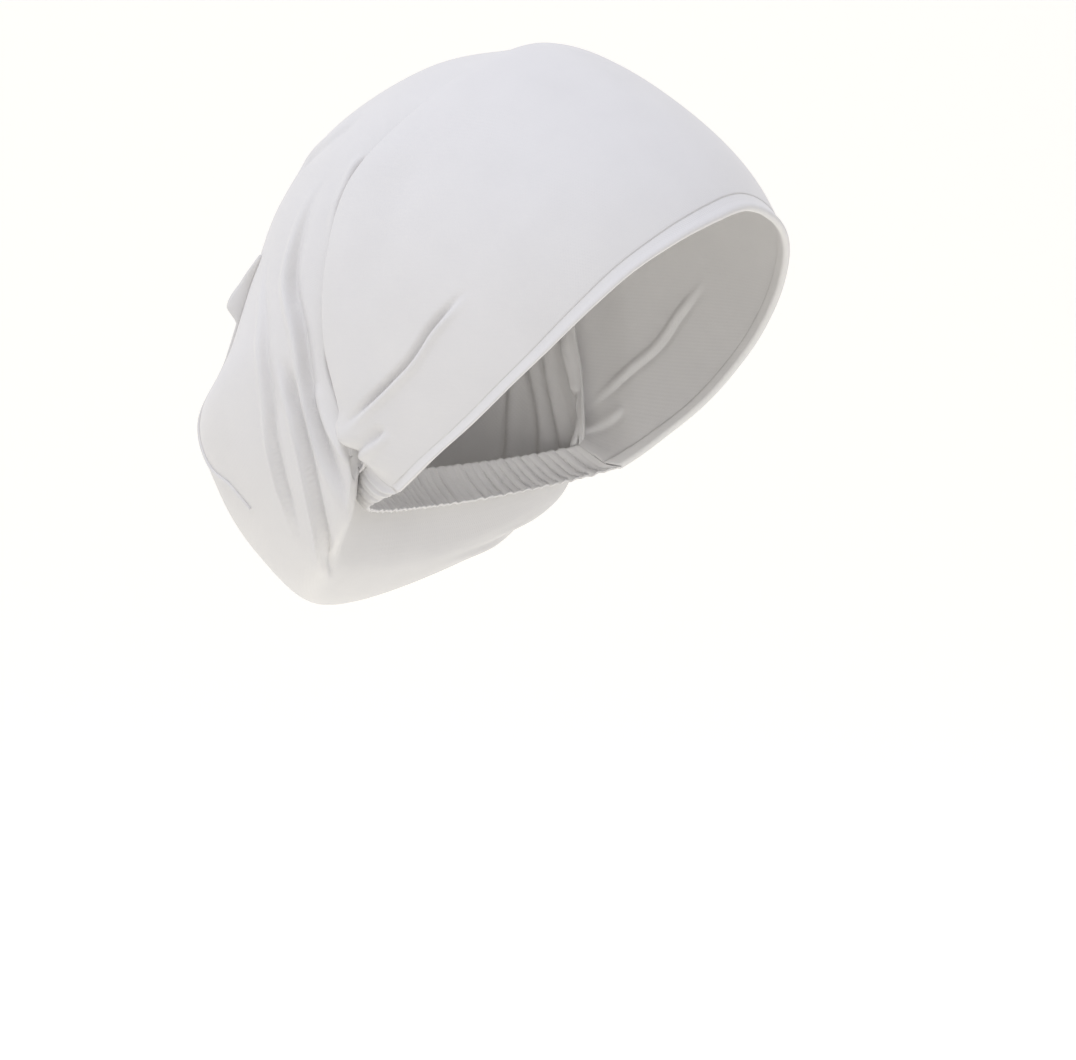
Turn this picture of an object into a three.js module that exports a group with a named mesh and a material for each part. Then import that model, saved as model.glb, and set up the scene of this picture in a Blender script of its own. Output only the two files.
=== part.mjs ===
// Hijab underscarf cap in fine off-white jersey, shown in its worn shape.
// Millimetres, +Z up, the face opening looks toward -Y, the wearer's right side is -X.
// The origin is the inside of the crown at the middle of its top.
import * as THREE from 'three';

// Form the cap is drawn over: half widths and reaches from its centre
const HEAD_HALF_WIDTH = 76;
const HEAD_FRONT = 95;
const HEAD_BACK = 97;
const CROWN_RISE = 95;
const HEAD_BELOW = 150;
const FOREHEAD_SLOPE = 0.042;
const NAPE_HOLLOW = 0.55;

// Cloth
const WALL = 1.4;
const EASE = 0.5;
const SEAM_GAP = 0.35;

// Pieces
const FACE_END = 130;
const BACK_END = 127;
const HEM_WIDTH = 6;
const HEM_THICK = 3;
const LIP_HEIGHT = 4.5;
const LIP_RISE = 4;
const LIP_RUN = 24;
const BAND_HEIGHT = 13;
const BAND_DIP = 7.5;
const BAND_PLEATS = 14;
const PLEAT_DEPTH = 0.7;
const BAG_BACK = 129;
const BAG_BOTTOM = 202;
const BAG_CLEAR = 1.2;
const FOLD_DEPTH = 3.2;
const FOLD_WIDTH = 3.6;
const LOBE_HEIGHT = 2.4;
const LOBE_SIZE = 6;
const SEAM_WIDTH = 2;
const SEAM_HEIGHT = 1;
const FIN_HEIGHT = 6;

// Millimetres along the form for one degree of turn or lean
const ARC = (HEAD_HALF_WIDTH + HEAD_FRONT) / 2 * Math.PI / 180;

// Crown strip: turn is the angle round the Y axis from the top, and face and back
// are the lean of the face opening and of the bag's seam, positive toward the back
const CROWN_ROWS = [
  { turn: 0, face: -66, back: -1 },
  { turn: 12, face: -66, back: 1.5 },
  { turn: 25, face: -65.5, back: 8 },
  { turn: 40, face: -63.5, back: 16 },
  { turn: 56, face: -59.5, back: 23.5 },
  { turn: 72, face: -53, back: 26.2 },
  { turn: 84, face: -46.5, back: 26.8 },
  { turn: 96, face: -37.5, back: 26 },
  { turn: 106, face: -27, back: 23.5 },
  { turn: 114, face: -17, back: 21.5 },
  { turn: 122, face: -5, back: 19.5 },
  { turn: 132, face: 9, back: 17 },
];

// Folds of the crown, from the nape corner toward the face: depth, width and ridge
// are shares of FOLD_DEPTH, FOLD_WIDTH and FOLD_DEPTH
const CROWN_FOLDS = [
  { name: 'valley', depth: 0.85, width: 0.85, ridge: 0.45, turn: [118, 103, 91, 79], lean: [22, 5, -6.5, -18] },
  { name: 'crease', depth: 0.6, width: 0.6, ridge: 0.25, turn: [126, 120.5, 115], lean: [24, 15, 8] },
];

// Gathered lobes at the nape corners: shares of LOBE_SIZE and LOBE_HEIGHT
const LOBES = [
  { name: 'upper', turn: 117, lean: 19, size: 0.9, height: 1 },
  { name: 'lower', turn: 126, lean: 14, size: 1.1, height: 0.7 },
];

// Bag: y and z are shares of BAG_BACK and BAG_BOTTOM on the middle plane,
// turn is where the row meets the crown seam, wrap and square shape the arch,
// and lag holds the sides of the row forward
const BAG_ROWS = [
  { v: 0, y: 0.05, z: -0.005, turn: 30, wrap: 42, square: 2, lag: 1 },
  { v: 0.1, y: 0.33, z: 0.02, turn: 39, wrap: 60, square: 2, lag: 1 },
  { v: 0.2, y: 0.59, z: 0.12, turn: 49, wrap: 80, square: 2.1, lag: 1 },
  { v: 0.3, y: 0.73, z: 0.262, turn: 58, wrap: 92, square: 2.2, lag: 1 },
  { v: 0.4, y: 0.8, z: 0.415, turn: 68, wrap: 98, square: 2.3, lag: 1 },
  { v: 0.5, y: 0.875, z: 0.56, turn: 78, wrap: 102, square: 2.4, lag: 1 },
  { v: 0.58, y: 1, z: 0.685, turn: 87, wrap: 104, square: 2.3, lag: 1 },
  { v: 0.66, y: 0.945, z: 0.812, turn: 96, wrap: 104, square: 2.2, lag: 1 },
  { v: 0.75, y: 0.845, z: 0.93, turn: 104, wrap: 104, square: 2, lag: 1.1 },
  { v: 0.83, y: 0.7, z: 1, turn: 111, wrap: 104, square: 2, lag: 1.8 },
  { v: 0.9, y: 0.57, z: 0.94, turn: 117, wrap: 103, square: 2.4, lag: 3.4 },
  { v: 0.95, y: 0.515, z: 0.86, turn: 122, wrap: 100, square: 2.6, lag: 3.6 },
  { v: 1, y: 0.48, z: 0.742, turn: 127, wrap: 90, square: 2, lag: 1 },
];

// Folds of the bag, along s (1 near border, 0 middle) and v (0 crown, 1 nape):
// depth, width and ridge are shares as in the folds of the crown
const BAG_FOLDS = [
  {
    name: 'outer', depth: 0.7, width: 1, ridge: 0.35,
    s: [0.66, 0.78, 0.82, 0.77, 0.66, 0.5],
    v: [0.37, 0.5, 0.62, 0.7, 0.77, 0.83],
  },
  {
    name: 'inner', depth: 1.05, width: 0.9, ridge: 0.6,
    s: [0.83, 0.86, 0.91, 0.89, 0.79, 0.64],
    v: [0.36, 0.47, 0.61, 0.73, 0.84, 0.93],
  },
  {
    name: 'lower', depth: 1, width: 0.95, ridge: 0.5,
    s: [0.86, 0.86, 0.77, 0.62, 0.4, 0.17],
    v: [0.6, 0.7, 0.79, 0.85, 0.89, 0.89],
  },
  {
    name: 'shoulder', depth: 0.4, width: 1.1, ridge: 0.2,
    s: [0.61, 0.57, 0.44],
    v: [0.16, 0.21, 0.27],
  },
];
const FAR_SHARE = 0.6;

// Seam over the back of the bag, with the height of its fin as a share of FIN_HEIGHT
const SEAM_ROWS = [
  { u: 0, s: 0.56, v: 0.375, fin: 0 },
  { u: 0.12, s: 0.5, v: 0.41, fin: 0.55 },
  { u: 0.22, s: 0.48, v: 0.445, fin: 1 },
  { u: 0.25, s: 0.47, v: 0.46, fin: 0 },
  { u: 0.45, s: 0.4, v: 0.53, fin: 0 },
  { u: 0.65, s: 0.4, v: 0.62, fin: 0 },
  { u: 0.83, s: 0.51, v: 0.69, fin: 0 },
  { u: 1, s: 0.52, v: 0.745, fin: 0 },
];

// Facets
const CROWN_GRID = [13, 53];
const BAG_GRID = [47, 33];
const BAND_GRID = [57, 4];
const HEM_STEPS = 60;
const SEAM_STEPS = 30;

const CENTRE = new THREE.Vector3(0, 0, -CROWN_RISE);
const radians = THREE.MathUtils.degToRad;

function smooth(x) {
  const c = Math.min(Math.max(x, 0), 1);
  return c * c * (3 - 2 * c);
}

// Smooth curve through points (xs, ys), read at one place
function curve(xs, ys, place) {
  const last = xs.length - 1;
  const at = Math.min(Math.max(place, xs[0]), xs[last]);
  let i = 0;
  while (i < last - 1 && at > xs[i + 1]) i += 1;
  const slopeAt = (k) => {
    const a = Math.max(k - 1, 0);
    const b = Math.min(k + 1, last);
    return (ys[b] - ys[a]) / (xs[b] - xs[a]);
  };
  const h = xs[i + 1] - xs[i];
  const u = (at - xs[i]) / h;
  const first = (2 * u ** 3 - 3 * u ** 2 + 1) * ys[i] + (u ** 3 - 2 * u ** 2 + u) * h * slopeAt(i);
  return first + (3 * u ** 2 - 2 * u ** 3) * ys[i + 1] + (u ** 3 - u ** 2) * h * slopeAt(i + 1);
}

function column(rows, key, name, at) {
  return curve(rows.map((r) => r[key]), rows.map((r) => r[name]), at);
}

// Distance from the centre of the form to its surface along a direction
function reach(d) {
  const low = Math.max(-d.z, 0);
  const wide = HEAD_HALF_WIDTH * (1 - 0.12 * low ** 2);
  const deep = d.y < 0 ? HEAD_FRONT : HEAD_BACK * (1 - NAPE_HOLLOW * low ** 1.5);
  const tall = d.z > 0 ? CROWN_RISE : HEAD_BELOW;
  const r = 1 / Math.hypot(d.x / wide, d.y / deep, d.z / tall);
  const flat = d.z > 0 ? FOREHEAD_SLOPE * 6.75 * d.z ** 4 * (1 - d.z ** 2) * smooth(0.5 - d.y) : 0;
  return r * (1 - flat);
}

function onHead(turn, lean, lift) {
  const t = radians(turn);
  const l = radians(lean);
  const d = new THREE.Vector3(-Math.sin(t) * Math.cos(l), Math.sin(l), Math.cos(t) * Math.cos(l));
  return d.multiplyScalar(reach(d) + lift).add(CENTRE);
}

function faceLean(turn) {
  return column(CROWN_ROWS, 'turn', 'face', Math.abs(turn));
}

function backLean(turn) {
  return column(CROWN_ROWS, 'turn', 'back', Math.abs(turn));
}

// Cross-section of a fold: steep on the plus side with a ridge beyond, gentle on the other
function foldShape(d, fold) {
  const width = fold.width * FOLD_WIDTH;
  const w = d > 0 ? 0.6 * width : 1.6 * width;
  const valley = -fold.depth * FOLD_DEPTH * Math.exp(-((d / w) ** 2));
  return valley + fold.ridge * FOLD_DEPTH * Math.exp(-(((d - 1.6 * width) / (0.9 * width)) ** 2));
}

// Points along each fold, from the place of its two columns on a surface
function linesOf(folds, first, second, place) {
  return folds.map((fold) => {
    const steps = fold[first].map((_, i) => i / (fold[first].length - 1));
    const line = [];
    for (let i = 0; i <= 40; i += 1) {
      line.push(place(curve(steps, fold[first], i / 40), curve(steps, fold[second], i / 40)));
    }
    return { fold, line };
  });
}

// Height of a set of folds at a point with a normal, the far side in a lower copy
function foldHeight(point, normal, lines) {
  let h = 0;
  for (const [side, share] of [[1, 1], [-1, FAR_SHARE]]) {
    const mirror = new THREE.Vector3(side, 1, 1);
    const p = point.clone().multiply(mirror);
    const n = normal.clone().multiply(mirror);
    for (const { fold, line } of lines) {
      let best = Infinity;
      let found = null;
      for (let i = 0; i + 1 < line.length; i += 1) {
        const along = line[i + 1].clone().sub(line[i]);
        const long = along.length();
        along.normalize();
        const off = p.clone().sub(line[i]);
        const u = Math.min(Math.max(off.dot(along), 0), long);
        off.addScaledVector(along, -u);
        if (off.length() < best) {
          best = off.length();
          found = { off, along, u: (i + u / long) / (line.length - 1) };
        }
      }
      const across = n.clone().cross(found.along).normalize();
      const d = -found.off.dot(across);
      const away = found.off.clone().addScaledVector(across, d).length() / FOLD_WIDTH;
      const fade = smooth(found.u / 0.22) * smooth((1 - found.u) / 0.22) * Math.exp(-((away / 1.7) ** 2));
      h += share * fade * foldShape(d, fold);
    }
  }
  return h;
}

const crownLines = linesOf(CROWN_FOLDS, 'turn', 'lean', (turn, lean) => onHead(turn, lean, WALL + EASE));

// Folds and lobes near the nape corners, by place on the form
function crownRelief(turn, lean) {
  const p = onHead(turn, lean, WALL + EASE);
  const n = p.clone().sub(CENTRE).normalize();
  let h = foldHeight(p, n, crownLines);
  for (const [side, share] of [[1, 1], [-1, FAR_SHARE]]) {
    for (const b of LOBES) {
      const across = (turn * side - b.turn) * ARC * Math.cos(radians(lean));
      const r = Math.hypot(across, (lean - b.lean) * ARC) / (b.size * LOBE_SIZE);
      h += share * b.height * LOBE_HEIGHT * Math.exp(-(r ** 2));
    }
  }
  return h;
}

// Lean of the front edge of the crown strip, where the folded edge joins it
function frontLean(turn) {
  return faceLean(turn) + HEM_WIDTH / ARC;
}

// Crown strip: s from the face edge to the back edge, t from the far end to the near end
function crownPoint(s, t, lift) {
  const faceTurn = t * FACE_END;
  const backTurn = t * BACK_END;
  const turn = faceTurn + (backTurn - faceTurn) * s;
  const front = frontLean(faceTurn);
  const back = backLean(backTurn);
  const fromBack = (1 - s) * (back - front) * ARC;
  const roll = smooth(fromBack / LIP_RISE) * (1 - smooth((fromBack - LIP_RISE) / LIP_RUN));
  const lip = LIP_HEIGHT * smooth((Math.abs(backTurn) - 30) / 25) * roll;
  const lean = front + (back - front) * s;
  return onHead(turn, lean, lift + lip + crownRelief(turn, lean) * smooth(fromBack / LIP_RISE));
}

// Place round the nape: bearing from the back toward the near side, at a height
function onNape(bearing, z, lift) {
  const d = new THREE.Vector3();
  let flat = HEAD_BACK;
  for (let i = 0; i < 14; i += 1) {
    d.set(-Math.sin(bearing) * flat, Math.cos(bearing) * flat, z - CENTRE.z).normalize();
    flat = (reach(d) + EASE) * Math.hypot(d.x, d.y);
  }
  return d.multiplyScalar(reach(d) + lift).add(CENTRE);
}

// Ends of the crown strip, where the nape band starts: w from its top to its lower edge
function bandEnd(w) {
  const front = frontLean(FACE_END);
  const back = backLean(BACK_END);
  const lean = back + (faceLean(FACE_END) - back) * w;
  const turn = FACE_END + (BACK_END - FACE_END) * Math.max((lean - front) / (back - front), 0);
  const edge = onHead(turn, lean, EASE);
  return { bearing: Math.atan2(-edge.x, edge.y), z: edge.z };
}

// Nape band: u from the far end to the near end, w from the top to the lower edge
function bandPoint(u, w, lift) {
  const end = bandEnd(w);
  const middle = bandEnd(0).z - BAND_DIP - BAND_HEIGHT * w;
  const z = end.z + (middle - end.z) * (1 - Math.abs(u) ** 2.5);
  return onNape(u * end.bearing, z, lift);
}

function backEdge(turn, lift) {
  return onHead(turn, backLean(turn) + SEAM_GAP / ARC, lift);
}

function power(x, p) {
  return Math.sign(x) * Math.abs(x) ** p;
}

// One arch of the bag from border to border through the middle plane
function arch(s, v) {
  const at = (name) => column(BAG_ROWS, 'v', name, v);
  const border = backEdge(at('turn'), 0.7 * WALL + EASE);
  const wide = radians(at('wrap'));
  const p = 2 / at('square');
  const low = power(Math.cos(wide), p);
  const k = (power(Math.cos(s * wide), p) - low) / (1 - low);
  const behind = k < 0 ? k : k ** at('lag');
  return new THREE.Vector3(
    power(Math.sin(s * wide), p) / power(Math.sin(wide), p) * border.x,
    border.y + (at('y') * BAG_BACK - border.y) * behind,
    border.z + (-at('z') * BAG_BOTTOM - border.z) * k,
  );
}

// Smooth surface of the bag, before folds
function bagBase(s, v) {
  const p = arch(s, v);
  const top = backEdge(s * BAG_ROWS[0].turn, 0.7 * WALL + EASE).sub(arch(s, 0));
  const nape = bandPoint(s * 0.995, 0, 2 * WALL + EASE + SEAM_GAP).sub(arch(s, 1));
  p.addScaledVector(top, 1 - smooth(v / 0.35));
  p.addScaledVector(nape, smooth((v - 0.9) / 0.1));
  const d = p.clone().sub(CENTRE);
  const r = d.length();
  d.normalize();
  const nearNape = bandEnd(0).z - BAND_DIP - BAND_HEIGHT / 2;
  const need = (reach(d) + BAG_CLEAR) * smooth((p.z - nearNape) / (1.5 * BAND_HEIGHT));
  return d.multiplyScalar(Math.max(r, need)).add(CENTRE);
}

function bagNormal(s, v) {
  const e = 0.004;
  const ds = bagBase(Math.min(s + e, 1), v).sub(bagBase(Math.max(s - e, -1), v));
  const dv = bagBase(s, Math.min(v + e, 1)).sub(bagBase(s, Math.max(v - e, 0)));
  return dv.cross(ds).normalize();
}

const bagLines = linesOf(BAG_FOLDS, 's', 'v', bagBase);

// Outer face of the bag with its folds, which fade at the seams
function bagPoint(s, v, depth) {
  const n = bagNormal(s, v);
  const p = bagBase(s, v);
  const fade = smooth((1 - Math.abs(s)) / 0.04) * smooth(v / 0.05) * smooth((1 - v) / 0.05);
  return p.clone().addScaledVector(n, foldHeight(p, n, bagLines) * fade - depth);
}

// Closed body between an outer and an inner grid of points
function closedSheet(outer, inner, rows, cols) {
  const points = [];
  const index = [];
  for (const face of [outer, inner]) {
    for (let i = 0; i < rows; i += 1) {
      for (let j = 0; j < cols; j += 1) points.push(face(i, j));
    }
  }
  const at = (side, i, j) => side * rows * cols + i * cols + j;
  const quad = (a, b, c, d) => index.push(a, b, c, a, c, d);
  for (let i = 0; i + 1 < rows; i += 1) {
    for (let j = 0; j + 1 < cols; j += 1) {
      quad(at(0, i, j), at(0, i + 1, j), at(0, i + 1, j + 1), at(0, i, j + 1));
      quad(at(1, i, j), at(1, i, j + 1), at(1, i + 1, j + 1), at(1, i + 1, j));
    }
  }
  for (let i = 0; i + 1 < rows; i += 1) {
    quad(at(0, i, 0), at(1, i, 0), at(1, i + 1, 0), at(0, i + 1, 0));
    quad(at(0, i + 1, cols - 1), at(1, i + 1, cols - 1), at(1, i, cols - 1), at(0, i, cols - 1));
  }
  for (let j = 0; j + 1 < cols; j += 1) {
    quad(at(0, 0, j + 1), at(1, 0, j + 1), at(1, 0, j), at(0, 0, j));
    quad(at(0, rows - 1, j), at(1, rows - 1, j), at(1, rows - 1, j + 1), at(0, rows - 1, j + 1));
  }
  return facingOut(points, index);
}

// Closed body from rings of points in order, with flat ends
function closedTube(rings) {
  const size = rings[0].length;
  const points = rings.flat();
  const index = [];
  for (let i = 0; i + 1 < rings.length; i += 1) {
    for (let k = 0; k < size; k += 1) {
      const a = i * size + k;
      const b = i * size + (k + 1) % size;
      index.push(a, b, b + size, a, b + size, a + size);
    }
  }
  const last = (rings.length - 1) * size;
  for (let k = 1; k + 1 < size; k += 1) {
    index.push(0, k + 1, k);
    index.push(last, last + k, last + k + 1);
  }
  return facingOut(points, index);
}

// Turns every face outward by the sign of the enclosed volume
function facingOut(points, index) {
  let volume = 0;
  for (let i = 0; i < index.length; i += 3) {
    const [a, b, c] = [points[index[i]], points[index[i + 1]], points[index[i + 2]]];
    volume += a.dot(b.clone().cross(c));
  }
  const order = volume < 0 ? index.slice().reverse() : index;
  const geometry = new THREE.BufferGeometry();
  geometry.setFromPoints(points);
  geometry.setIndex(order);
  geometry.computeVertexNormals();
  return geometry;
}

function crownBody() {
  const [rows, cols] = CROWN_GRID;
  const place = (i, j) => [1 - (1 - i / (rows - 1)) ** 1.5, -1 + 2 * j / (cols - 1)];
  const face = (lift) => (i, j) => crownPoint(...place(i, j), lift);
  return closedSheet(face(WALL + EASE), face(EASE), rows, cols);
}

function bagBody() {
  const [cols, rows] = BAG_GRID;
  const spread = (x) => Math.sin(x * Math.PI / 2) * 0.5 + x * 0.5;
  const face = (inside) => (i, j) => {
    const v = i / (rows - 1);
    const s = spread(-1 + 2 * j / (cols - 1));
    const lift = inside ? EASE : WALL + EASE;
    if (i === 0) return backEdge(s * BAG_ROWS[0].turn, lift);
    if (i < rows - 1 && (j === 0 || j === cols - 1)) {
      return backEdge(Math.sign(s) * column(BAG_ROWS, 'v', 'turn', v), lift);
    }
    return bagPoint(s, v, inside ? WALL : 0);
  };
  return closedSheet(face(false), face(true), rows, cols);
}

function bandBody() {
  const [cols, rows] = BAND_GRID;
  const face = (lift) => (i, j) => {
    const u = (-1 + 2 * j / (cols - 1)) * 0.994;
    const w = i / (rows - 1);
    const pleat = PLEAT_DEPTH * (1 + Math.sin(u * BAND_PLEATS * Math.PI)) * smooth((1 - Math.abs(u)) / 0.1);
    const far = u < 0 ? FAR_SHARE : 1;
    const corner = smooth((Math.abs(u) - 0.7) / 0.3) * smooth(w / 0.3) * far;
    return bandPoint(u, w, lift + pleat * smooth(w / 0.4) + 0.8 * corner);
  };
  return closedSheet(face(WALL + EASE), face(EASE), rows, cols);
}

// Folded edge round the face opening, rounded in section
function hemBody() {
  const rings = [];
  const section = [[0, 0.12], [0.15, 0], [0.85, 0], [1, 0.25], [1, 0.65], [0.8, 1], [0.5, 0.85], [0, 0.46]];
  for (let i = 0; i <= HEM_STEPS; i += 1) {
    const turn = FACE_END * (-1 + 2 * i / HEM_STEPS);
    rings.push(section.map(([a, b]) => {
      const behind = HEM_WIDTH - SEAM_GAP - a * (HEM_WIDTH - SEAM_GAP);
      return onHead(turn, faceLean(turn) + behind / ARC, EASE + b * HEM_THICK);
    }));
  }
  return closedTube(rings);
}

// Raised seam on the back of the bag, standing out as a fin at its upper end
function seamBody() {
  const rings = [];
  const at = (name, u) => column(SEAM_ROWS, 'u', name, u);
  for (let i = 0; i <= SEAM_STEPS; i += 1) {
    const u = i / SEAM_STEPS;
    const point = (k) => bagPoint(at('s', k), at('v', k), -SEAM_GAP - 0.15);
    const foot = point(u);
    const along = point(Math.min(u + 0.01, 1)).sub(point(Math.max(u - 0.01, 0))).normalize();
    const up = bagNormal(at('s', u), at('v', u));
    const across = up.clone().cross(along).normalize();
    const tall = SEAM_HEIGHT + (FIN_HEIGHT - SEAM_HEIGHT) * Math.max(at('fin', u), 0);
    const section = [[-0.5, 0], [0.5, 0], [0.5, 0.6], [0.25, 1], [-0.25, 1], [-0.5, 0.6]];
    rings.push(section.map(([a, b]) => foot.clone()
      .addScaledVector(across, a * SEAM_WIDTH)
      .addScaledVector(up, b * tall)));
  }
  return closedTube(rings);
}

const group = new THREE.Group();
group.name = 'underscarf_cap';

function add(name, geometry, color) {
  const material = new THREE.MeshStandardMaterial({ color, roughness: 0.9, metalness: 0 });
  material.name = `${name}_jersey`;
  const mesh = new THREE.Mesh(geometry, material);
  mesh.name = name;
  group.add(mesh);
}

add('crown', crownBody(), 0xe9e8ea);
add('face_hem', hemBody(), 0xe3e2e5);
add('nape_band', bandBody(), 0xe0dfe0);
add('bag', bagBody(), 0xe6e5e8);
add('end_seam', seamBody(), 0xdddce0);

export default group;
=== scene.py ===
# %% [markdown]
# # A hijab underscarf cap in off-white jersey
# The cap is one soft object made of five sewn pieces: the stretched crown, its rolled
# face edge, the gathered nape band, the pouch that holds the hair, and the seam that
# closes the pouch. Each piece is cut as a flat panel, as a sewer would, and then laid
# over a rounded form by moving its vertices. The cloth is sized in millimetres; the
# camera, the floor and the light are placed in metres.

# %% Load the frame
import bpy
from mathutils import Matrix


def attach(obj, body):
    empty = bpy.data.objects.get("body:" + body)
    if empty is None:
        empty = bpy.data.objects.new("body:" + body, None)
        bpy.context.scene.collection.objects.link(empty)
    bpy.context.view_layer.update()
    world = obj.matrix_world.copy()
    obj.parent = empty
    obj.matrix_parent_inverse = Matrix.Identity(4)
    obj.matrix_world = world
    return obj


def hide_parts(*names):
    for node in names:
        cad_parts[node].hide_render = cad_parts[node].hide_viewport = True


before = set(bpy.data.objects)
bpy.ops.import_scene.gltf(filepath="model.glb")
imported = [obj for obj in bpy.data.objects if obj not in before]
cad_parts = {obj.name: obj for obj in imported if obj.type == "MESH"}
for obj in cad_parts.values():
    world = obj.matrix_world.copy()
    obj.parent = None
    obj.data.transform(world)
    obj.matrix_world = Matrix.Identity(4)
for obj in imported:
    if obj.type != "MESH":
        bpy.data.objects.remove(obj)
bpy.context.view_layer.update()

# %% Imports
import math
import bpy
import numpy as np
from mathutils import Vector
scene = bpy.context.scene

# %% [markdown]
# ## The camera
# The picture looks at the right side of the cap, a little from the front and a little
# from above. A long lens keeps its proportions, as a product shot does.

# %% Camera
TARGET = Vector((0, 0, -0.170))
AZIMUTH, ELEVATION, DISTANCE = math.radians(-55), math.radians(5), 1.5
PIXELS_PER_MM, FRAME_WIDTH, SENSOR_WIDTH = 2.8, 1076, 36
away = Vector((math.sin(AZIMUTH) * math.cos(ELEVATION),
               -math.cos(AZIMUTH) * math.cos(ELEVATION), math.sin(ELEVATION)))
bpy.ops.object.camera_add(location=TARGET + away * DISTANCE)
camera = bpy.context.object
camera.rotation_euler = (-away).to_track_quat("-Z", "Y").to_euler()
camera.data.sensor_width = SENSOR_WIDTH
camera.data.lens = SENSOR_WIDTH * PIXELS_PER_MM * DISTANCE * 1000 / FRAME_WIDTH
camera.data.clip_end = 20
scene.camera = camera
print("lens", round(camera.data.lens, 1), "mm")

# %% [markdown]
# ## Smooth numbers
# Cloth has no sharp steps, so every size that changes along a piece is read from a
# smooth curve through a few chosen values.

# %% Curves
def smooth(x):
    x = np.clip(x, 0, 1)
    return x * x * (3 - 2 * x)


def curve(xs, ys, at):
    xs, ys = np.asarray(xs, float), np.asarray(ys, float)
    at = np.clip(at, xs[0], xs[-1])
    slope = np.empty_like(ys)
    slope[1:-1] = (ys[2:] - ys[:-2]) / (xs[2:] - xs[:-2])
    slope[0] = (ys[1] - ys[0]) / (xs[1] - xs[0])
    slope[-1] = (ys[-1] - ys[-2]) / (xs[-1] - xs[-2])
    i = np.clip(np.searchsorted(xs, at, side="right") - 1, 0, len(xs) - 2)
    h = xs[i + 1] - xs[i]
    u = (at - xs[i]) / h
    near = (2 * u**3 - 3 * u**2 + 1) * ys[i] + (u**3 - 2 * u**2 + u) * h * slope[i]
    return near + (3 * u**2 - 2 * u**3) * ys[i + 1] + (u**3 - u**2) * h * slope[i + 1]


def column(rows, key, name, at):
    return curve([r[key] for r in rows], [r[name] for r in rows], at)


# %% [markdown]
# ## The form
# The cloth is drawn over a rounded form that isn't built. It only has to say how far it
# reaches in each direction, so it is one function: an ellipsoid with a flatter front
# that narrows toward the nape. Turn is the angle round the front-to-back axis from the
# top, positive on the right side. Lean is the angle toward the back. The upper front
# slopes in by a share that is scaled to be largest two thirds of the way up.

# %% Form
HALF_WIDTH, FRONT, BACK, RISE, BELOW = 76.0, 95.0, 97.0, 95.0, 150.0
SLOPE, SLOPE_SCALE, NAPE_HOLLOW, NARROWING = 0.042, 27 / 4, 0.55, 0.12
WALL, EASE, CLOTH, SEAM_GAP = 1.4, 0.5, 1.0, 0.35
HEM_WIDTH, HEM_THICK = 6.0, 3.0
CENTRE = np.array([0, 0, -RISE])
MEAN_RADIUS, SETTLING_STEPS = 85, 14
ARC = MEAN_RADIUS * math.pi / 180


def reach(d):
    x, y, z = d[..., 0], d[..., 1], d[..., 2]
    low = np.clip(-z, 0, 1)
    wide = HALF_WIDTH * (1 - NARROWING * low**2)
    deep = np.where(y < 0, FRONT, BACK * (1 - NAPE_HOLLOW * low**1.5))
    tall = np.where(z > 0, RISE, BELOW)
    r = ((x / wide)**2 + (y / deep)**2 + (z / tall)**2)**-0.5
    return r * (1 - SLOPE * SLOPE_SCALE * z**4 * (1 - z * z) * (z > 0) * smooth(0.5 - y))


def on_form(turn, lean, lift):
    t, l = np.radians(turn), np.radians(lean)
    d = np.stack([-np.sin(t) * np.cos(l), np.sin(l), np.cos(t) * np.cos(l)], -1)
    return CENTRE + (reach(d) + lift)[..., None] * d


def on_nape(bearing, z, lift):
    flat = np.full(np.shape(bearing), BACK)
    height = z - CENTRE[2] + 0 * flat
    for _ in range(SETTLING_STEPS):
        d = np.stack([-np.sin(bearing) * flat, np.cos(bearing) * flat, height], -1)
        d = d / np.linalg.norm(d, axis=-1)[..., None]
        flat = (reach(d) + EASE) * np.hypot(d[..., 0], d[..., 1])
    return CENTRE + (reach(d) + lift)[..., None] * d


# %% [markdown]
# ## Laying a flat panel
# A panel starts as a grid on the table. Its own X and Y, from -1 to 1, say which part of
# the cloth a vertex is, and a function gives that part's place on the form. The grid's
# UV map stays the flat cloth, so the knit follows the cloth and not the room. The rows
# of a folded panel are set closer on the near side and along both borders.

# %% Panels
def flat_panel(name, across, along):
    bpy.ops.object.select_all(action="DESELECT")
    bpy.ops.mesh.primitive_grid_add(x_subdivisions=across, y_subdivisions=along, size=2)
    panel = bpy.context.object
    panel.name = panel.data.name = name
    return panel


def own_places(panel):
    flat = np.empty(len(panel.data.vertices) * 3)
    panel.data.vertices.foreach_get("co", flat)
    flat = flat.reshape(-1, 3)
    return flat[:, 0], flat[:, 1]


BORDER_START, BORDER_EXTRA = 0.92, 1.2


def spaced(x, start, extra):
    fine = np.linspace(-1, 1, 2001)
    border = BORDER_EXTRA * smooth((np.abs(fine) - BORDER_START) / 0.06)
    weight = 1 + extra * smooth((fine - start) / 0.2) + border
    total = np.concatenate([[0], np.cumsum(weight[1:] + weight[:-1])])
    return np.interp((x + 1) / 2, total / total[-1], fine)


def lay(panel, places_mm):
    panel.data.vertices.foreach_set("co", (places_mm * 0.001).ravel())
    panel.data.update()


def cloth_map(panel, across_mm, along_mm):
    layer = panel.data.uv_layers[0]
    layer.name = "cloth"
    corner = np.empty(len(layer.data), int)
    panel.data.loops.foreach_get("vertex_index", corner)
    uv = np.stack([across_mm, along_mm], -1)[corner] * 0.001
    layer.data.foreach_set("uv", uv.ravel())


def select_all_of(panel):
    bpy.ops.object.select_all(action="DESELECT")
    panel.select_set(True)
    bpy.context.view_layer.objects.active = panel


INSIDE_CAP = Vector((0, 0.02, -0.1))


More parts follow.
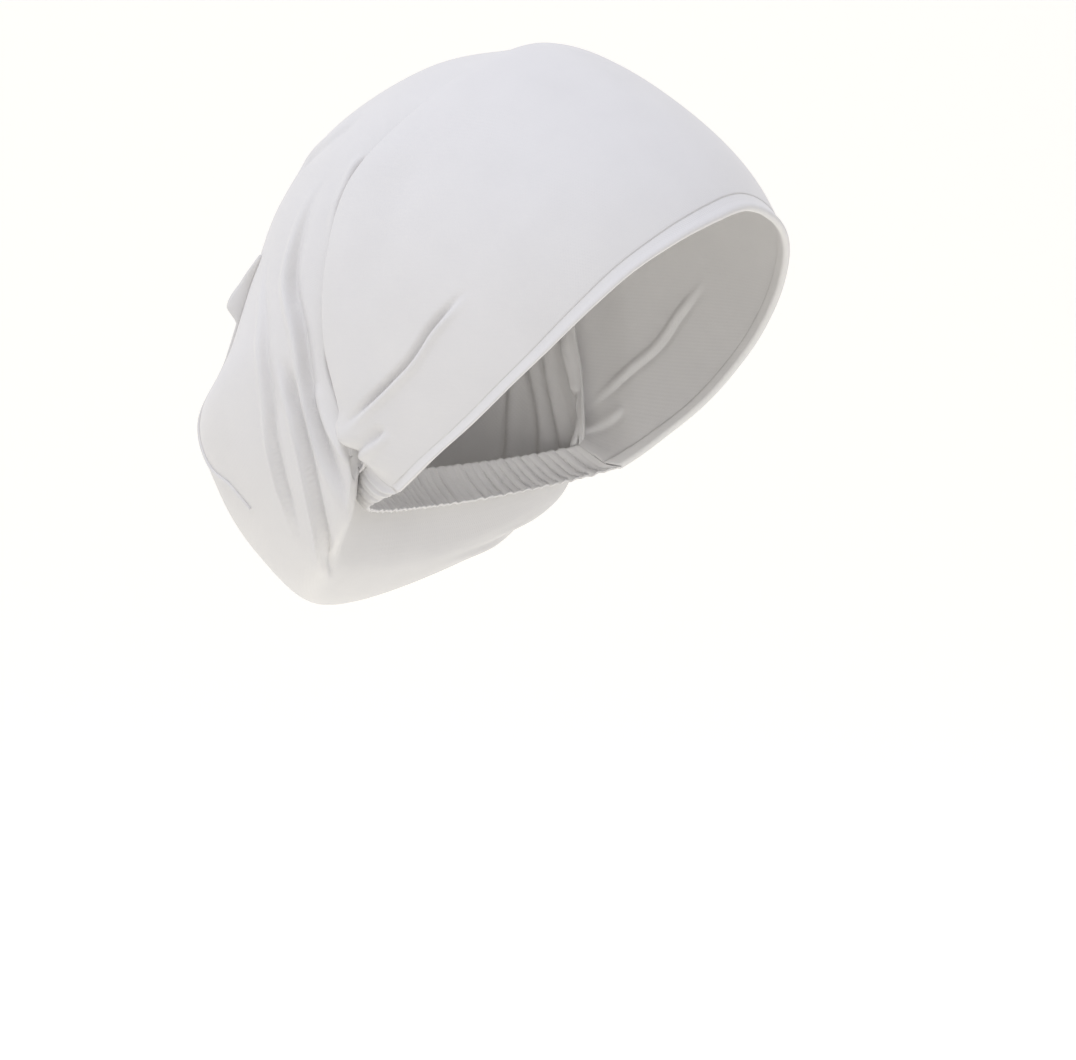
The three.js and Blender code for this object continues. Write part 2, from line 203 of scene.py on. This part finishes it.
def face_outward(panel):
    if np.mean([p.normal.dot(p.center - INSIDE_CAP) for p in panel.data.polygons]) < 0:
        select_all_of(panel)
        bpy.ops.object.mode_set(mode="EDIT")
        bpy.ops.mesh.select_all(action="SELECT")
        bpy.ops.mesh.flip_normals()
        bpy.ops.object.mode_set(mode="OBJECT")


def give_thickness(panel, mm):
    select_all_of(panel)
    wall = panel.modifiers.new("Thickness", "SOLIDIFY")
    wall.thickness = mm * 0.001
    wall.offset = -1
    wall.use_even_offset = False
    bpy.ops.object.modifier_apply(modifier=wall.name)
    bpy.ops.object.shade_smooth()


# %% [markdown]
# ## The jersey
# Fine viscose jersey with a little elastane, knitted about 14 wales to the centimetre
# and dyed off-white. It is matt, with a soft sheen at grazing angles from the fibre
# ends. The real wales are 0.7 mm apart, too fine for the picture, so they are drawn at
# 1.1 mm and kept shallow. A slow mottle stands for uneven stretch.

# %% Colour
def linear(hex_colour):
    parts = [int(hex_colour[i:i + 2], 16) / 255 for i in (1, 3, 5)]
    return [p / 12.92 if p <= 0.04045 else ((p + 0.055) / 1.055) ** 2.4 for p in parts] + [1]


# %% Nodes
def node(tree, kind, settings=None, inputs=None):
    made = tree.nodes.new(kind)
    for key, value in (settings or {}).items():
        setattr(made, key, value)
    for key, value in (inputs or {}).items():
        if isinstance(value, bpy.types.NodeSocket):
            tree.links.new(value, made.inputs[key])
        else:
            made.inputs[key].default_value = value
    return made


# %% Off-white viscose jersey
WALE, COURSE, KNIT_DEPTH = 0.0011, 0.0011 * 1.3, 0.22
WAVE_PERIOD = 0.314


def wave(tree, cloth, axis, size):
    return node(tree, "ShaderNodeTexWave",
                {"wave_type": "BANDS", "bands_direction": axis, "wave_profile": "SIN"},
                {"Vector": cloth.outputs["UV"], "Scale": WAVE_PERIOD / size, "Distortion": 0.0})


def jersey(name, light, shade):
    material = bpy.data.materials.new(name)
    material.use_nodes = True
    tree = material.node_tree
    tree.nodes.clear()
    cloth = node(tree, "ShaderNodeUVMap", {"uv_map": "cloth"})
    place = node(tree, "ShaderNodeTexCoord")
    mottle = node(tree, "ShaderNodeTexNoise", None,
                  {"Vector": place.outputs["Object"], "Scale": 55, "Detail": 3})
    tone = node(tree, "ShaderNodeMix", {"data_type": "RGBA"})
    tree.links.new(mottle.outputs["Fac"], tone.inputs["Factor"])
    tone.inputs[6].default_value = linear(shade)
    tone.inputs[7].default_value = linear(light)
    ribs = wave(tree, cloth, "X", WALE)
    loops = wave(tree, cloth, "Y", COURSE)
    fuzz = node(tree, "ShaderNodeTexNoise", None,
                {"Vector": place.outputs["Object"], "Scale": 1400, "Detail": 2})
    knit = node(tree, "ShaderNodeMath", {"operation": "MULTIPLY"},
                {0: ribs.outputs["Fac"], 1: loops.outputs["Fac"]})
    rough = node(tree, "ShaderNodeMath", {"operation": "MULTIPLY_ADD"},
                 {0: fuzz.outputs["Fac"], 1: 0.5, 2: knit.outputs[0]})
    bump = node(tree, "ShaderNodeBump", None,
                {"Height": rough.outputs[0], "Strength": KNIT_DEPTH, "Distance": 0.00012})
    shader = node(tree, "ShaderNodeBsdfPrincipled", None,
                  {"Base Color": tone.outputs[2], "Roughness": 0.92, "Normal": bump.outputs["Normal"],
                   "Specular IOR Level": 0.2, "Sheen Weight": 0.25, "Sheen Roughness": 0.5,
                   "Sheen Tint": linear("#FFFDFB")})
    node(tree, "ShaderNodeOutputMaterial", None, {"Surface": shader.outputs[0]})
    return material


plain_jersey = jersey("off_white_viscose_jersey", "#DEDCDA", "#D8D6D4")
print("material", plain_jersey.name)

# %% [markdown]
# ## The crown
# The crown is one strip pulled over the top from side to side. It is smooth because it
# is stretched. Low on the sides its back edge rolls proud over the pouch, and where it
# is caught at the nape a deep fold and a few gathers run into the corner.

# %% Crown pattern
FACE_END, BACK_END, LIP = 130.0, 127.0, 4.5
CROWN = [
    dict(turn=0, face=-66, back=-1),
    dict(turn=12, face=-66, back=1.5),
    dict(turn=25, face=-65.5, back=8),
    dict(turn=40, face=-63.5, back=16),
    dict(turn=56, face=-59.5, back=23.5),
    dict(turn=72, face=-53, back=26.2),
    dict(turn=84, face=-46.5, back=26.8),
    dict(turn=96, face=-37.5, back=26),
    dict(turn=106, face=-27, back=23.5),
    dict(turn=114, face=-17, back=21.5),
    dict(turn=122, face=-5, back=19.5),
    dict(turn=132, face=9, back=17),
]
CROWN_FOLDS = [
    dict(name="valley", depth=2.4, width=1.5, ridge=1.2, gentle=0.9,
         turn=[118, 112, 107.3, 103.3, 99.4, 95, 91, 85.5, 79],
         lean=[22, 15.5, 10.2, 5.4, 0.4, -3.6, -6.5, -11.7, -18]),
    dict(name="crease", depth=2.2, width=1.8, ridge=0.9,
         turn=[126, 123, 120.4, 118, 115], lean=[24, 19, 15, 11.5, 8]),
]
LOBES = [
    dict(name="upper", turn=117.5, lean=20, size=5.0, height=2.6),
    dict(name="lower", turn=126, lean=14, size=7.0, height=1.6),
]
LOBE_REACH, OVERHANG, OVERHANG_RUN, EDGE_RUN = 4.5, 1.6, 1.4, 2.4
LIP_RUN, LOBE_RUN = 0.07, 0.03
CROWN_ACROSS, CROWN_ALONG, ROW_SPREAD = 135, 190, 1.35


def face_lean(turn):
    return column(CROWN, "turn", "face", np.abs(turn))


def back_lean(turn):
    return column(CROWN, "turn", "back", np.abs(turn))


# %% [markdown]
# ## Folds
# A fold is a line over the cloth. Across it the cloth drops into a valley, steep on one
# side and gentle on the other, and rises into a ridge beside the steep side. A fold
# fades toward both of its ends. The far side repeats the folds of the near side, lower.

# %% Fold profile
FAR_SHARE, GENTLE, FADE, FOLD_HOLD = 0.6, 1.6, 0.22, 6


def eased(values, window=41):
    weights = np.hanning(window + 2)[1:-1]
    padded = np.pad(values, ((window // 2, window // 2), (0, 0)), mode="reflect", reflect_type="odd")
    columns = [np.convolve(c, weights / weights.sum(), "valid") for c in padded.T]
    return np.stack(columns, -1)


def fold_profile(d, f):
    w = f["width"]
    steep = np.where(d > 0, 0.6 * w, f.get("gentle", GENTLE) * w)
    ridge = f["ridge"] * np.exp(-((d - 1.6 * w) / (0.9 * w))**2)
    height = ridge - f["depth"] * np.exp(-(d / steep)**2)
    tuck = 0.25 * f["ridge"] * np.exp(-((d - 1.3 * w) / (1.1 * w))**2)
    return height, tuck


def fold_move(p, n, line, f):
    along = np.gradient(line, axis=0)
    along /= np.linalg.norm(along, axis=1)[:, None]
    reach_of_fold = 5 * f["width"] + 6
    close = ((p >= line.min(0) - reach_of_fold) & (p <= line.max(0) + reach_of_fold)).all(1)
    move = np.zeros_like(p)
    if not close.any():
        return move
    q, m = p[close], n[close]
    near = np.concatenate([((few[:, None] - line[None])**2).sum(-1).argmin(1)
                           for few in np.array_split(q, 60)])
    off, way = q - line[near], along[near]
    off = off - way * np.clip((off * way).sum(-1), -1, 1)[:, None]
    across = np.cross(m, way)
    d = -(off * across).sum(-1)
    gone = np.linalg.norm(off + across * d[:, None], axis=-1)
    u = near / (len(line) - 1)
    fade = smooth(u / f.get("fade_in", FADE)) * smooth((1 - u) / f.get("fade_out", FADE))
    fade = fade * np.exp(-(gone / FOLD_HOLD)**2)
    height, tuck = fold_profile(d, f)
    move[close] = fade[:, None] * (height[:, None] * m + tuck[:, None] * across)
    return move


def both_sides(p, n, folds, line_of):
    move = np.zeros_like(p)
    for side, share in ((1, 1.0), (-1, FAR_SHARE)):
        mirror = np.array([side, 1, 1])
        for f in folds:
            move += share * mirror * fold_move(p * mirror, n * mirror, line_of(f), f)
    return move


def folded(p, n, fade, folds, line_of):
    move = both_sides(p.reshape(-1, 3), n.reshape(-1, 3), folds, line_of)
    return p + move.reshape(p.shape) * fade[..., None]


def surface_normal(place, a, b, e):
    da = place(a + e, b) - place(a - e, b)
    db = place(a, b + e) - place(a, b - e)
    n = np.cross(da, db)
    return n / np.linalg.norm(n, axis=-1)[..., None]


# %% Crown surface
def lobe_share(turn):
    return np.where(turn > 0, 1, 0.25) * np.exp(-((np.abs(turn) - LOBES[0]["turn"]) / 3.2)**2)


def lobe_height(turn, lean):
    h = np.zeros(np.shape(turn))
    for side, share in ((1, 1.0), (-1, FAR_SHARE)):
        for b in LOBES:
            across = (turn * side - b["turn"]) * ARC * np.cos(np.radians(lean))
            r = np.hypot(across, (lean - b["lean"]) * ARC)
            h = h + share * b["height"] * np.exp(-(r / b["size"])**2)
    return h


def crown_angles(s, t):
    face_turn, back_turn = t * FACE_END, t * BACK_END
    front = face_lean(face_turn) + HEM_WIDTH / ARC
    back = back_lean(back_turn) + lobe_share(back_turn) * smooth((s - 0.8) / 0.2) * LOBE_REACH
    span = back - front
    return face_turn + (back_turn - face_turn) * s, front + span * s, back_turn, span


def crown_place(s, t, lift):
    turn, lean, back_turn, span = crown_angles(s, t)
    from_back = (1 - s) * span * ARC
    edge = smooth(from_back / EDGE_RUN)
    roll = edge * (1 - smooth((from_back - 3) / 24))
    lip_share = 0.25 + 0.75 * smooth((np.abs(back_turn) - 30) / 25)
    lip = LIP * lip_share * roll * smooth((1 - np.abs(t)) / LIP_RUN)
    over = smooth(from_back / OVERHANG_RUN) * (1 - smooth((from_back - OVERHANG_RUN) / 6))
    lean = lean + OVERHANG / ARC * lip_share * over
    lobes = lobe_height(turn, lean) * (0.35 + 0.65 * edge) * smooth((1 - np.abs(t)) / LOBE_RUN)
    return on_form(turn, lean, lift + lip + lobes)


def crown_fold_line(f):
    k, u = np.linspace(0, 1, len(f["turn"])), np.linspace(0, 1, 200)
    return eased(on_form(curve(k, f["turn"], u), curve(k, f["lean"], u), WALL + EASE))


def crown_dressed(s, t, lift):
    p = crown_place(s, t, lift)
    turn, lean, _, span = crown_angles(s, t)
    n = surface_normal(lambda a, b: on_form(a, b, lift + 0 * a), turn, lean, 0.2)
    n *= np.sign((n * (p - CENTRE)).sum(-1))[..., None]
    fade = smooth((1 - s) * span * ARC / EDGE_RUN) * smooth((1 - np.abs(t)) / LOBE_RUN)
    return folded(p, n, fade, CROWN_FOLDS, crown_fold_line)


# %% Lay the crown
crown = flat_panel("crown_panel", 118, 405)
x, y = own_places(crown)
s, t = 1 - (1 - (x + 1) / 2)**ROW_SPREAD, spaced(y, 0.5, 1.2)
lay(crown, crown_dressed(s, t, WALL + EASE))
cloth_map(crown, s * CROWN_ACROSS, t * CROWN_ALONG)
face_outward(crown)
give_thickness(crown, CLOTH)
crown.data.materials.append(plain_jersey)
print(crown.name, len(crown.data.polygons), "faces")

# %% [markdown]
# ## The nape band
# At the nape the cloth is gathered over an elastic. The casing is a narrow strip with
# many small pleats that run across it. It starts at the ends of the crown.

# %% Band places
BAND_DIP, BAND_HEIGHT = 7.5, 13.0
FINE_PLEATS, BROAD_PLEATS, PLEAT_SHARE, PUFF = 46, 27, 0.8, 1.1
BAND_ACROSS, BAND_ALONG = 110, 14


def band_end(w):
    back, front = back_lean(BACK_END), face_lean(FACE_END) + HEM_WIDTH / ARC
    lean = back + (face_lean(FACE_END) - back) * w
    turn = FACE_END + (BACK_END - FACE_END) * np.maximum((lean - front) / (back - front), 0)
    edge = on_form(turn, lean, EASE)
    return np.arctan2(-edge[..., 0], edge[..., 1]), edge[..., 2]


def band_place(u, w, lift):
    bearing, z_end = band_end(w)
    middle = band_end(0 * w)[1] - BAND_DIP - BAND_HEIGHT * w
    z = z_end + (middle - z_end) * (1 - np.abs(u)**2.5)
    return on_nape(u * bearing, z, lift)


# %% Lay the nape band
band = flat_panel("nape_casing", 420, 26)
u, w = own_places(band)
w = (w + 1) / 2
pleats = np.sin(u * FINE_PLEATS * np.pi + 2.2 * np.sin(u * 9)) * 0.55
pleats = pleats + np.sin(u * BROAD_PLEATS * np.pi + 1.0) * 0.35
full = smooth(w / 0.35) * (1 - 0.5 * smooth((w - 0.8) / 0.2))
hold = smooth((1 - np.abs(u)) / 0.05) * (0.45 + 0.55 * full)
puff = PUFF * np.sin(np.clip(w, 0, 1) * np.pi)**0.7
lay(band, band_place(u, w, WALL + EASE + (pleats * PLEAT_SHARE + puff) * hold))
cloth_map(band, u * BAND_ACROSS, w * BAND_ALONG)
face_outward(band)
give_thickness(band, CLOTH)
band.data.materials.append(plain_jersey)
print(band.name, len(band.data.polygons), "faces")

# %% [markdown]
# ## The pouch
# The pouch is a wide panel whose border is sewn to the crown's back edge and to the
# nape band. Between the two it hangs like a hammock: each row is an arch from one border
# to the other through the middle of the back, and the rows swing down and round under.
# The border is tucked a little under the crown's rolled edge, so that no slit shows.

# %% Pouch pattern
BAG_BACK, BAG_BOTTOM, BAG_LIFT = 129.0, 202.0, 0.7 * WALL + EASE
BAG_ACROSS, BAG_ALONG = 150, 240
BAG = [
    dict(v=0, y=0.05, z=-0.005, turn=30, wrap=42, square=2, lag=1),
    dict(v=0.1, y=0.33, z=0.02, turn=39, wrap=60, square=2, lag=1),
    dict(v=0.2, y=0.59, z=0.12, turn=49, wrap=80, square=2.1, lag=1),
    dict(v=0.3, y=0.73, z=0.262, turn=58, wrap=92, square=2.2, lag=1),
    dict(v=0.4, y=0.8, z=0.415, turn=68, wrap=98, square=2.3, lag=1),
    dict(v=0.5, y=0.875, z=0.575, turn=78, wrap=102, square=2.4, lag=1),
    dict(v=0.58, y=1, z=0.7, turn=87, wrap=104, square=2.3, lag=1),
    dict(v=0.66, y=0.945, z=0.822, turn=96, wrap=104, square=2.2, lag=1),
    dict(v=0.75, y=0.845, z=0.93, turn=104, wrap=104, square=2.0, lag=1.1),
    dict(v=0.83, y=0.7, z=1, turn=111, wrap=104, square=2.0, lag=1.8),
    dict(v=0.9, y=0.57, z=0.94, turn=117, wrap=103, square=2.4, lag=3.4),
    dict(v=0.95, y=0.515, z=0.86, turn=122, wrap=100, square=2.6, lag=3.6),
    dict(v=1, y=0.48, z=0.742, turn=127, wrap=90, square=2, lag=1),
]


def back_edge(turn, lift):
    return on_form(turn, back_lean(turn) + SEAM_GAP / ARC, lift)


def power(x, p):
    return np.sign(x) * np.abs(x)**p


def arch(s, v):
    border = back_edge(column(BAG, "v", "turn", v), BAG_LIFT)
    wide = np.radians(column(BAG, "v", "wrap", v))
    p = 2 / column(BAG, "v", "square", v)
    low = power(np.cos(wide), p)
    k = (power(np.cos(s * wide), p) - low) / (1 - low)
    x = power(np.sin(s * wide), p) / power(np.sin(wide), p) * border[..., 0]
    back = np.maximum(k, 0)**column(BAG, "v", "lag", v)
    rear, level = column(BAG, "v", "y", v) * BAG_BACK, -column(BAG, "v", "z", v) * BAG_BOTTOM
    y = border[..., 1] + (rear - border[..., 1]) * np.where(k < 0, k, back)
    z = border[..., 2] + (level - border[..., 2]) * k
    return np.stack([x, y, z], -1)


# %% Pouch surface
INSIDE_BAG = np.array([0, 60, -140])
TUCK_RUN, TUCK_DROP, TUCK_SIDE, TUCK_TOP = 2.6, 0.85, 0.016, 0.012
FORM_GAP, CLEAR_BELOW, CLEAR_RUN = 1.2, -158, 18


def tucked(turn):
    lean = back_lean(turn) + (SEAM_GAP - TUCK_RUN) / ARC
    return on_form(turn, lean, BAG_LIFT - TUCK_DROP) - back_edge(turn, BAG_LIFT)


def bag_base(s, v):
    top = back_edge(s * BAG[0]["turn"], BAG_LIFT) - arch(s, 0 * s)
    nape = band_place(s * 0.995, 0 * s, 2 * WALL + EASE + SEAM_GAP) - arch(s, 0 * s + 1)
    p = arch(s, v) + top * (1 - smooth(v / 0.35))[..., None]
    p = p + nape * smooth((v - 0.9) / 0.1)[..., None]
    d = p - CENTRE
    r = np.linalg.norm(d, axis=-1)
    d = d / r[..., None]
    need = (reach(d) + FORM_GAP) * smooth((p[..., 2] - CLEAR_BELOW) / CLEAR_RUN)
    p = CENTRE + np.maximum(r, need)[..., None] * d
    side = tucked(np.sign(s) * column(BAG, "v", "turn", v))
    side = side * smooth((np.abs(s) - (1 - TUCK_SIDE)) / TUCK_SIDE)[..., None]
    side = side * smooth((1 - v) / 0.03)[..., None]
    over = tucked(s * BAG[0]["turn"]) * smooth((TUCK_TOP - v) / TUCK_TOP)[..., None]
    return p + np.where(v[..., None] < TUCK_TOP, over, side)


def bag_normal(s, v):
    n = surface_normal(bag_base, np.clip(s, -0.997, 0.997), np.clip(v, 0.003, 0.997), 0.003)
    return n * np.where((n * (bag_base(s, v) - INSIDE_BAG)).sum(-1) < 0, -1, 1)[..., None]


# %% [markdown]
# The folds of the pouch are drawn as a tailor would chalk them: each is a line over the
# cloth, with the depth of its valley and of the ridge beside it. On the near side they
# fan out from the gathers at the nape and climb toward the top of the cap.

# %% Pouch folds
BAG_FOLDS = [
    dict(name="outer", depth=2.2, width=1.8, ridge=1.4, fade_in=0.4,
         s=[.66, .69, .78, .82, .81, .775, .725, .66, .60, .50],
         v=[.37, .415, .50, .585, .652, .70, .741, .774, .80, .831]),
    dict(name="inner", depth=3.6, width=1.9, ridge=2.2, fade_in=0.45,
         s=[.80, .81, .822, .832, .84, .864, .894, .914, .91, .888, .84, .786, .743, .62],
         v=[.21, .26, .315, .366, .415, .471, .538, .604, .661, .737, .79, .838, .884, .935]),
    dict(name="lower", depth=3.2, width=1.9, ridge=1.8,
         s=[.86, .866, .862, .846, .814, .768, .69, .61, .52, .345, .17],
         v=[.594, .638, .674, .728, .757, .788, .821, .847, .866, .896, .893]),
    dict(name="beside_seam", depth=2.4, width=1.8, ridge=0.8, fade_out=0.5,
         s=[.935, .946, .966, .975, .98, .984], v=[.17, .202, .256, .315, .38, .45]),
    dict(name="seam_groove", depth=2.8, width=1.6, ridge=0.0,
         s=[.984, .984, .985, .986, .986], v=[.3, .44, .58, .7, .8]),
    dict(name="gap_above_knot", depth=3.6, width=1.9, ridge=0.0,
         s=[.982, .977, .972, .968, .965], v=[.64, .71, .77, .80, .83]),
    dict(name="gap_below_knot", depth=2.4, width=2.0, ridge=0.0,
         s=[.90, .885, .885, .88, .87], v=[.84, .87, .90, .93, .96]),
    dict(name="knot_ridge", depth=-1.6, width=2.0, ridge=0.0,
         s=[.925, .90, .875, .862, .85], v=[.70, .74, .79, .84, .88]),
    dict(name="shoulder", depth=1.3, width=3.0, ridge=0.6,
         s=[.62, .60, .573, .507, .44], v=[.15, .185, .209, .235, .27]),
]


def bag_fold_line(f):
    k, u = np.linspace(0, 1, len(f["s"])), np.linspace(0, 1, 200)
    return eased(bag_base(curve(k, f["s"], u), curve(k, f["v"], u)))


def bag_dressed(s, v):
    p, n = bag_base(s, v), bag_normal(s, v)
    fade = smooth((1 - np.abs(s)) / 0.02) * smooth(v / 0.04) * smooth((1 - v) / 0.03)
    return folded(p, n, fade, BAG_FOLDS, bag_fold_line)


# %% Lay the pouch
bag = flat_panel("hair_pouch", 262, 183)
x, y = own_places(bag)
s, v = spaced(x, 0.4, 1.8), (y + 1) / 2
lay(bag, bag_dressed(s, v))
cloth_map(bag, s * BAG_ACROSS, v * BAG_ALONG)
face_outward(bag)
give_thickness(bag, CLOTH)
bag.data.materials.append(plain_jersey)
print(bag.name, len(bag.data.polygons), "faces")

# %% [markdown]
# ## Rolled pieces
# The face edge is the cloth turned in and rolled, and the seam of the pouch is a narrow
# ridge. Both are a panel rolled up lengthwise, so its two long sides are merged and its
# ends are closed.

# %% Roll a panel
def roll_up(name, around, along, place, round_mm, long_mm):
    panel = flat_panel(name, around, along)
    x, y = own_places(panel)
    lay(panel, place((x + 1) / 2, (y + 1) / 2))
    cloth_map(panel, x * round_mm / 2, y * long_mm / 2)
    select_all_of(panel)
    bpy.ops.object.mode_set(mode="EDIT")
    bpy.ops.mesh.select_all(action="SELECT")
    bpy.ops.mesh.remove_doubles(threshold=0.00001)
    bpy.ops.mesh.select_all(action="SELECT")
    bpy.ops.mesh.fill_holes(sides=0)
    bpy.ops.mesh.select_all(action="SELECT")
    bpy.ops.mesh.normals_make_consistent(inside=False)
    bpy.ops.object.mode_set(mode="OBJECT")
    bpy.ops.object.shade_smooth()
    return panel


# %% Face edge
HEM_SECTION = [
    dict(a=0, forward=-0.2, up=0.3),
    dict(a=0.06, forward=-0.18, up=0.46),
    dict(a=0.16, forward=0.05, up=0.46),
    dict(a=0.3, forward=0.4, up=0.66),
    dict(a=0.42, forward=0.68, up=0.93),
    dict(a=0.52, forward=0.88, up=0.88),
    dict(a=0.6, forward=0.99, up=0.5),
    dict(a=0.68, forward=0.9, up=0.1),
    dict(a=0.78, forward=0.6, up=0),
    dict(a=0.94, forward=-0.14, up=0.02),
    dict(a=1, forward=-0.2, up=0.3),
]


def hem_place(a, k):
    turn = FACE_END * (2 * k - 1)
    forward = column(HEM_SECTION, "a", "forward", a) * HEM_WIDTH
    up = column(HEM_SECTION, "a", "up", a) * HEM_THICK
    lean = face_lean(turn) + (HEM_WIDTH - forward) / ARC
    return on_form(turn, lean, EASE + up)


hem = roll_up("face_edge_roll", 34, 420, hem_place, 16, 360)
hem.data.materials.append(plain_jersey)
print(hem.name, len(hem.data.polygons), "faces")

# %% Pouch seam
SEAM_WIDTH, SEAM_HEIGHT, FIN_HEIGHT = 1.7, 1.0, 6.0
SEAM = [
    dict(u=0, s=0.56, v=0.375, fin=0),
    dict(u=0.12, s=0.5, v=0.41, fin=0.55),
    dict(u=0.22, s=0.48, v=0.445, fin=1),
    dict(u=0.25, s=0.47, v=0.46, fin=0),
    dict(u=0.45, s=0.4, v=0.53, fin=0),
    dict(u=0.65, s=0.4, v=0.62, fin=0),
    dict(u=0.83, s=0.51, v=0.69, fin=0),
    dict(u=1, s=0.52, v=0.745, fin=0),
]


def seam_foot(k):
    s, v = column(SEAM, "u", "s", k), column(SEAM, "u", "v", k)
    return bag_dressed(s, v), bag_normal(s, v)


def seam_place(a, k):
    foot, up = seam_foot(k)
    along = seam_foot(np.minimum(k + 0.005, 1))[0] - seam_foot(np.maximum(k - 0.005, 0))[0]
    along /= np.linalg.norm(along, axis=-1)[..., None]
    across = np.cross(up, along)
    tall = SEAM_HEIGHT + (FIN_HEIGHT - SEAM_HEIGHT) * np.maximum(column(SEAM, "u", "fin", k), 0)
    wide = SEAM_WIDTH * smooth(k / 0.03 + 0.3) * smooth((1 - k) / 0.06 + 0.2)
    turn = 2 * np.pi * a
    side = across * (np.cos(turn) * 0.5 * wide)[..., None]
    return foot + side + up * ((0.5 + 0.5 * np.sin(turn)) * (tall + 0.4) - 0.4)[..., None]


seam = roll_up("pouch_seam", 14, 140, seam_place, 5, 90)
seam.data.materials.append(plain_jersey)
print(seam.name, len(seam.data.polygons), "faces")

# %% [markdown]
# ## Floor and light
# The floor is a studio sweep: a pale sheet that lies well below the cap and bends up
# behind it, so no edge shows. It glows a little, as a lit white paper does. The light
# is soft: an even, slightly cool surround, and a large soft box high on the left.

# %% Floor
FLOOR_DROP, BEND, SWEEP_WIDTH = 0.5, 1.5, 14.0
SWEEP_START, SWEEP_LENGTH = -12, 20
across_view = Vector((math.cos(AZIMUTH), math.sin(AZIMUTH), 0))
behind = Vector((-away.x, -away.y, 0)).normalized()
floor = flat_panel("floor", 2, 160)
for vertex in floor.data.vertices:
    run = (vertex.co.y + 1) * SWEEP_LENGTH / 2 + SWEEP_START
    bend = min(max((run - BEND) / BEND, 0), math.pi / 2)
    flat = min(run, BEND) + BEND * math.sin(bend)
    rise = BEND * (1 - math.cos(bend)) + max(run - BEND * (1 + math.pi / 2), 0)
    place = across_view * vertex.co.x * SWEEP_WIDTH + behind * flat
    vertex.co = place + Vector((0, 0, rise - FLOOR_DROP))
bpy.ops.object.shade_smooth()
floor_paper = bpy.data.materials.new("pale_matt_paper")
floor_paper.use_nodes = True
paper = floor_paper.node_tree.nodes["Principled BSDF"].inputs
paper["Base Color"].default_value = linear("#FEF9EC")
paper["Roughness"].default_value = 0.9
paper["Emission Color"].default_value = linear("#F4FAFF")
paper["Emission Strength"].default_value = 0.24
floor.data.materials.append(floor_paper)

# %% Surround
world = bpy.data.worlds.new("white_surround")
scene.world = world
world.use_nodes = True
surround = world.node_tree.nodes["Background"].inputs
surround["Color"].default_value = linear("#F1F3FF")
surround["Strength"].default_value = 0.7
scene.view_settings.view_transform = "Standard"


# %% Soft box
KEY_PLACE = TARGET + away * 0.7 - across_view * 0.55 + Vector((0, 0, 1.9))
KEY_SIZE, KEY_POWER, KEY_COLOUR = 1.0, 20, (0.92, 0.94, 1)


def soft_box(name, place, size, power_w, colour):
    bpy.ops.object.light_add(type="AREA", location=place)
    light = bpy.context.object
    light.name = name
    light.rotation_euler = (TARGET - Vector(place)).to_track_quat("-Z", "Y").to_euler()
    light.data.shape = "RECTANGLE"
    light.data.size = light.data.size_y = size
    light.data.energy = power_w
    light.data.color = colour


soft_box("key", KEY_PLACE, KEY_SIZE, KEY_POWER, KEY_COLOUR)

# %% [markdown]
# ## Ride and replace
# Every piece goes with the one body, and stands for the solid of the same shape. The
# pieces are cloth, so each says what flat size it was cut to.

# %% Ride and replace
for piece, solid, slot in ((crown, "crown", "jersey"), (hem, "face_hem", "hem_jersey"),
                           (band, "nape_band", "band_jersey"), (bag, "bag", "bag_jersey"),
                           (seam, "end_seam", "seam_jersey")):
    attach(piece, "root")
    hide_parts(solid)

# %% Cloth sizes
def half_area(piece):
    return sum(p.area for p in piece.data.polygons) / 2


for piece in (crown, hem, band, bag, seam):
    print(piece.name, "one side", round(half_area(piece), 4), "square metres")
